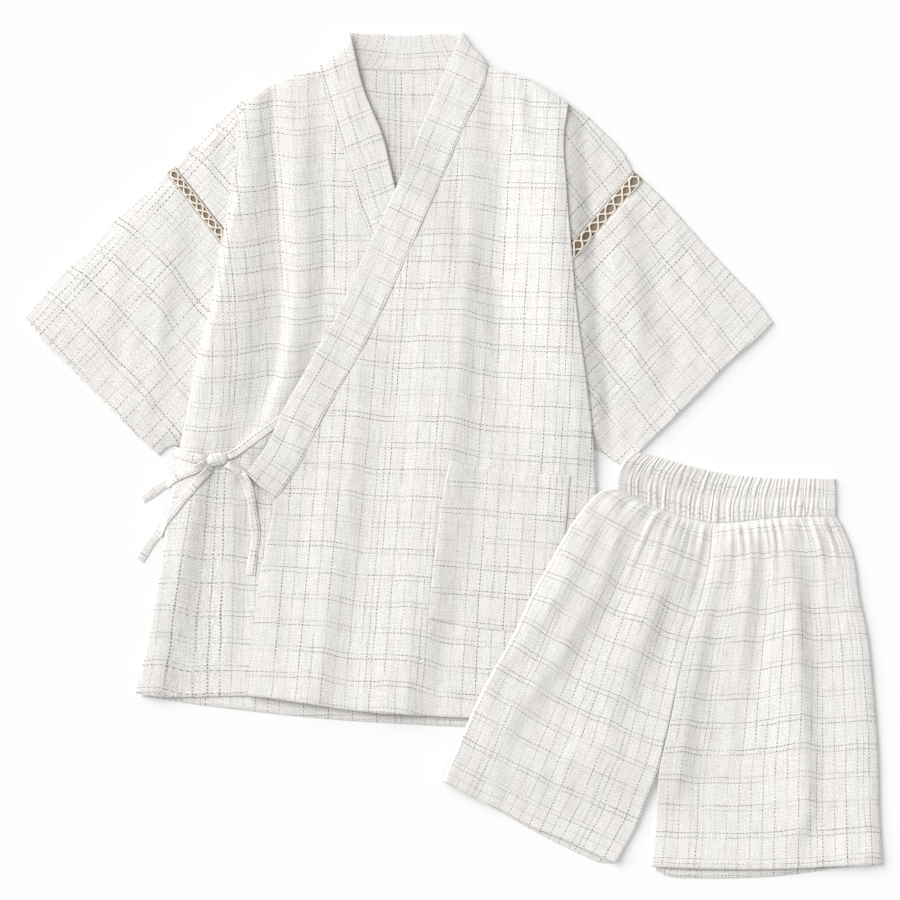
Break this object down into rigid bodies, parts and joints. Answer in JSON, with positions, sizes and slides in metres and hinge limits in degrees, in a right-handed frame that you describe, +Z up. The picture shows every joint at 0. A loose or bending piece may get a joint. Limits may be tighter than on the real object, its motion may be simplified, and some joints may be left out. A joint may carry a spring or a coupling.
{
  "type": "jinbei set",
  "caption": "Short-sleeved wrap jacket tied at the side, with a patch pocket and openwork shoulder braid, and elastic-waist shorts laid over its lower corner.",
  "frame": {"origin": "middle of the underside of the whole set, on the surface it lies on", "axes": "+Z up from the surface, +Y towards the collar, +X towards the wearer's left"},
  "size_m": [0.9856, 0.9754, 0.0129],
  "materials": {
    "check_cloth": "matte slub cotton, fine broken check",
    "braid_tape": "matte dark tape",
    "braid_thread": "soft cream thread"
  },
  "bodies": {
    "root": {"back_panel": "check_cloth", "front_right": "check_cloth", "front_left": "check_cloth", "collar_back": "check_cloth", "collar_right": "check_cloth", "collar_left": "check_cloth", "sleeve_head_right": "check_cloth", "sleeve_head_left": "check_cloth", "sleeve_right": "check_cloth", "sleeve_left": "check_cloth", "braid_tape_right": "braid_tape", "braid_tape_left": "braid_tape", "braid_right": "braid_thread", "braid_left": "braid_thread", "pocket": "check_cloth", "tie_outer": "check_cloth", "tie_side": "check_cloth", "tie_knot": "check_cloth", "tie_tail_1": "check_cloth", "tie_tail_2": "check_cloth", "tie_tail_3": "check_cloth", "shorts_front_right": "check_cloth", "shorts_front_left": "check_cloth", "shorts_back_right": "check_cloth", "shorts_back_left": "check_cloth", "waistband": "check_cloth"}
  },
  "joints": []
}
